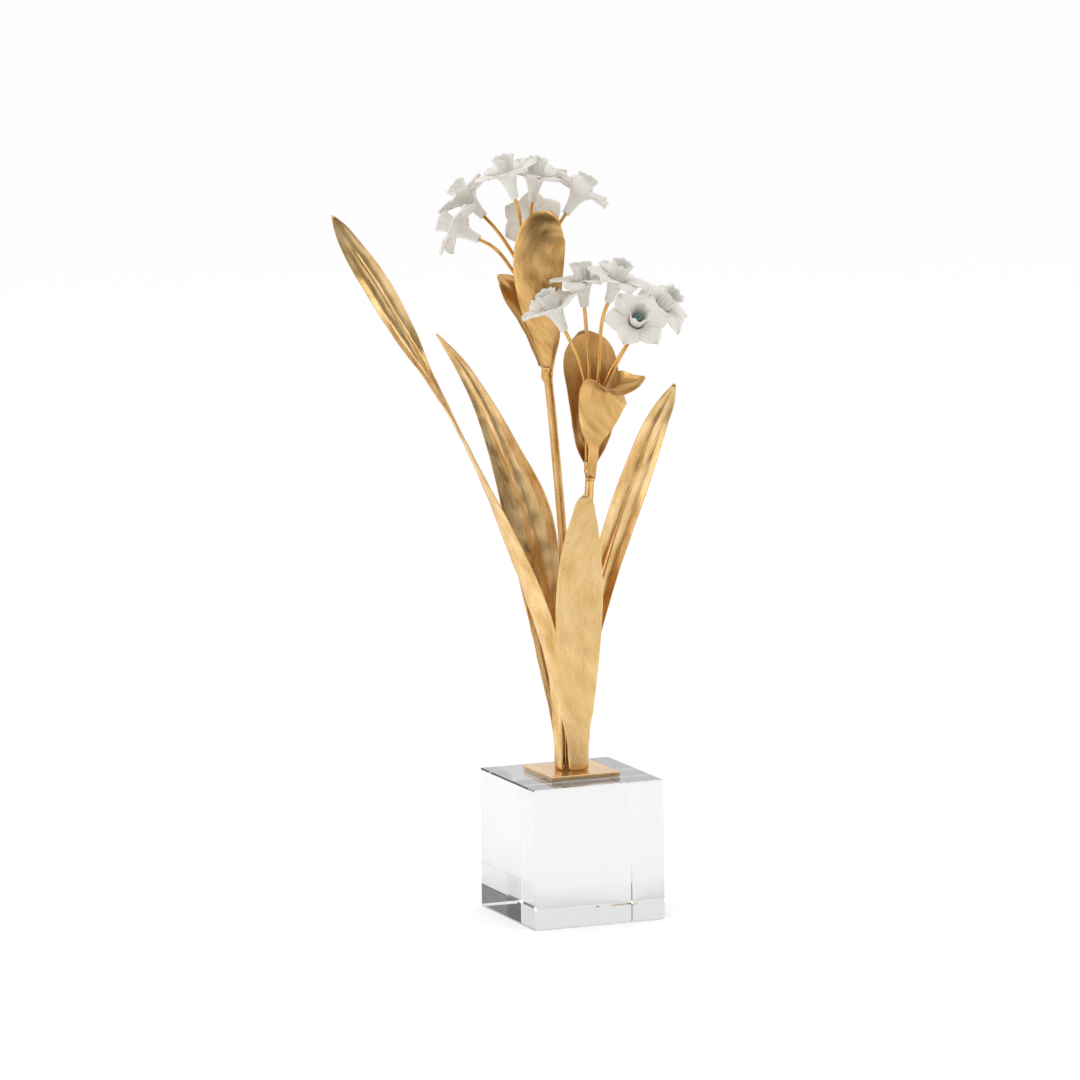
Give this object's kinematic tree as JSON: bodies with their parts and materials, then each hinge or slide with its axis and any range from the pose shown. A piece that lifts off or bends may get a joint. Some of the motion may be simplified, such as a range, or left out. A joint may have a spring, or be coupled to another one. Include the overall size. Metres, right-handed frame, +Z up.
{
  "type": "gilded narcissus ornament",
  "caption": "Gilded metal narcissus ornament with white porcelain florets on wire stalks, strap leaves and a clear square crystal block base.",
  "frame": {"origin": "middle of the crystal block's underside", "axes": "+Z up, towards the upper flower head; +Y from the block's wide front face to its back; +X to the right"},
  "size_m": [0.1785, 0.1123, 0.4127],
  "materials": {
    "crystal": "polished clear crystal",
    "gilding": "satin gold leaf over metal",
    "porcelain": "unglazed matt white bisque",
    "stamen_glaze": "glossy turquoise glaze"
  },
  "bodies": {
    "root": {"base_plate": "gilding", "corona_lower_1": "porcelain", "corona_lower_2": "porcelain", "corona_lower_3": "porcelain", "corona_lower_4": "porcelain", "corona_lower_5": "porcelain", "corona_upper_1": "porcelain", "corona_upper_2": "porcelain", "corona_upper_3": "porcelain", "corona_upper_4": "porcelain", "corona_upper_5": "porcelain", "corona_upper_6": "porcelain", "crystal_block": "crystal", "leaf_front": "gilding", "leaf_mid_left": "gilding", "leaf_right": "gilding", "leaf_tall_left": "gilding", "pedicel_lower_1": "gilding", "pedicel_lower_2": "gilding", "pedicel_lower_3": "gilding", "pedicel_lower_4": "gilding", "pedicel_lower_5": "gilding", "pedicel_upper_1": "gilding", "pedicel_upper_2": "gilding", "pedicel_upper_3": "gilding", "pedicel_upper_4": "gilding", "pedicel_upper_5": "gilding", "pedicel_upper_6": "gilding", "perianth_lower_1": "porcelain", "perianth_lower_2": "porcelain", "perianth_lower_3": "porcelain", "perianth_lower_4": "porcelain", "perianth_lower_5": "porcelain", "perianth_upper_1": "porcelain", "perianth_upper_2": "porcelain", "perianth_upper_3": "porcelain", "perianth_upper_4": "porcelain", "perianth_upper_5": "porcelain", "perianth_upper_6": "porcelain", "scape_lower": "gilding", "scape_upper": "gilding", "spathe_lower_back": "gilding", "spathe_lower_front": "gilding", "spathe_upper_back": "gilding", "spathe_upper_front": "gilding", "stamens_lower_1": "stamen_glaze", "stamens_lower_2": "stamen_glaze", "stamens_lower_3": "stamen_glaze", "stamens_lower_4": "stamen_glaze", "stamens_lower_5": "stamen_glaze", "stamens_upper_1": "stamen_glaze", "stamens_upper_2": "stamen_glaze", "stamens_upper_3": "stamen_glaze", "stamens_upper_4": "stamen_glaze", "stamens_upper_5": "stamen_glaze", "stamens_upper_6": "stamen_glaze", "umbel_head_lower": "gilding", "umbel_head_upper": "gilding"}
  },
  "joints": []
}
